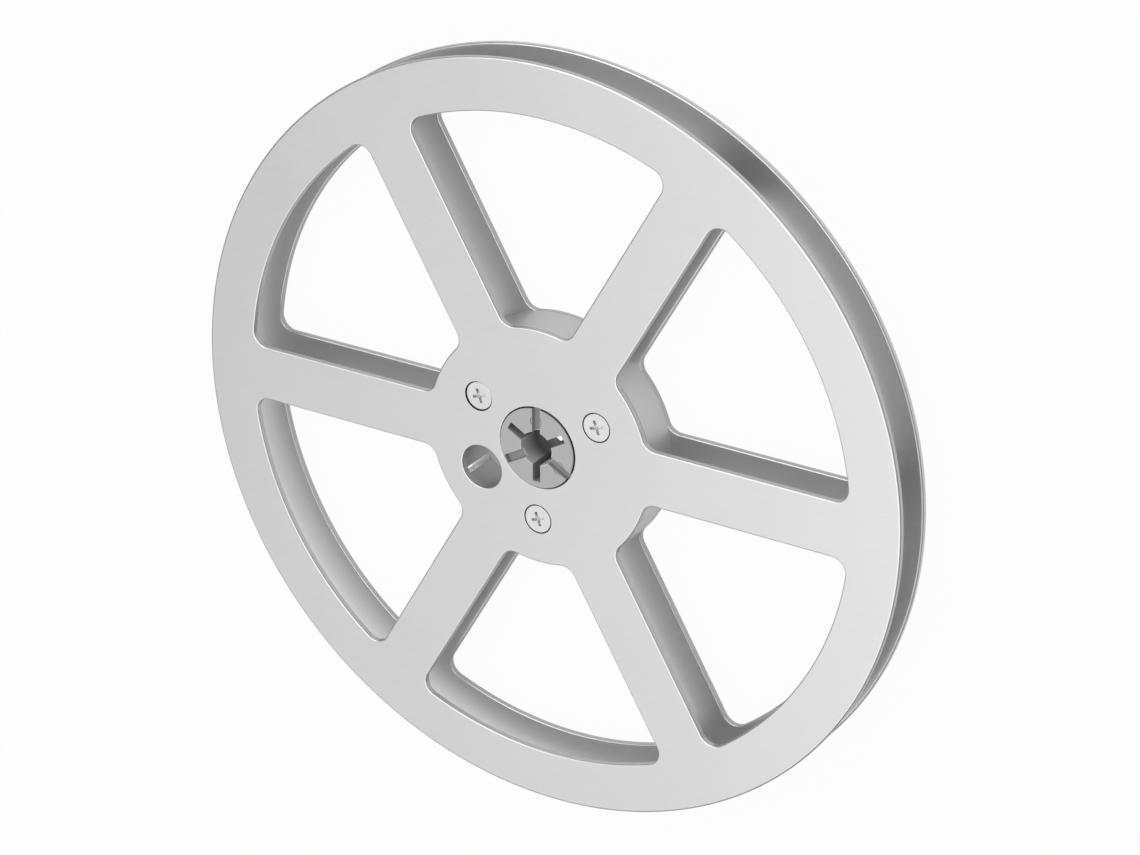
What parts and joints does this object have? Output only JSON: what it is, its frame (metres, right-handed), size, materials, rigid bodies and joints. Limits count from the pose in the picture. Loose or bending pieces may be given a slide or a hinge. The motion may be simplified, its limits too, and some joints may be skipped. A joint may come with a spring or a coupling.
{
  "type": "audio tape reel",
  "caption": "Open audio tape reel: two spoked metal discs screwed to a hub drum, with a slotted spindle core and a tape anchor hole.",
  "frame": {"origin": "centre of the spindle bore on the plane of the core's rear end face, with the reel lying flat", "axes": "+Z along the spindle bore, out of the front disc; +X through the middle of the tape hole"},
  "size_m": [0.1778, 0.1778, 0.0125],
  "materials": {
    "disc_metal": "fine satin grain, clear anodised",
    "drum_metal": "satin, turned",
    "moulding": "matte moulded",
    "screw_steel": "satin, bright plated"
  },
  "bodies": {
    "root": {"front_flange": "disc_metal", "rear_flange": "disc_metal", "hub": "drum_metal", "spindle_core": "moulding", "front_screws": "screw_steel", "rear_screws": "screw_steel"}
  },
  "joints": []
}
